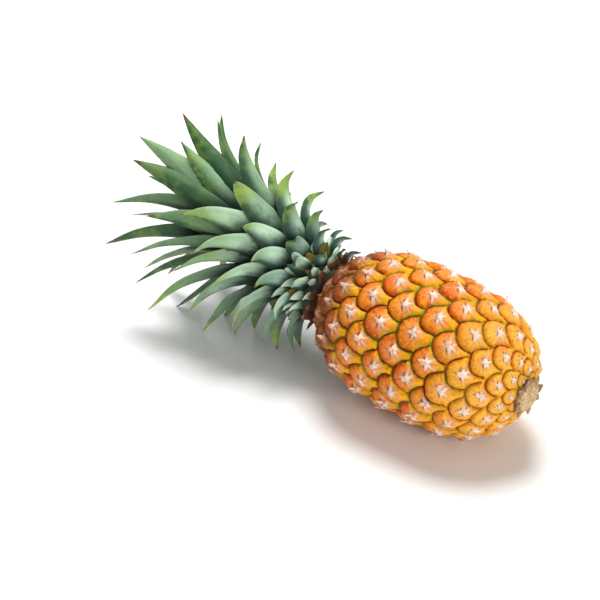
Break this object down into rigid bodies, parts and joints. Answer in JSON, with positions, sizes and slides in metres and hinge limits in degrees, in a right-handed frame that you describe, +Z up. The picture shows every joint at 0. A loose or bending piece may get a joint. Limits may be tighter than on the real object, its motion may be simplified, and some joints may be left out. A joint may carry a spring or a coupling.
{
  "type": "pineapple",
  "caption": "Whole ripe pineapple with its leafy crown, lying on its side on a surface.",
  "frame": {"origin": "on the surface it lies on, in the flat spot of the lowest eye, near the middle of the fruit", "axes": "+Z up from the surface; the crown points along -X and the cut stalk along +X"},
  "size_m": [0.3848, 0.1634, 0.1757],
  "materials": {
    "crown": "waxy blue-green leaf with a dull bloom",
    "fruit": "satin orange and yellow rind with green-brown grooves",
    "neck_bracts": "dry papery brown scales",
    "stalk": "dry fibrous cut stalk"
  },
  "bodies": {
    "root": {"crown": "crown", "fruit": "fruit", "neck_bracts": "neck_bracts", "stalk": "stalk"}
  },
  "joints": []
}
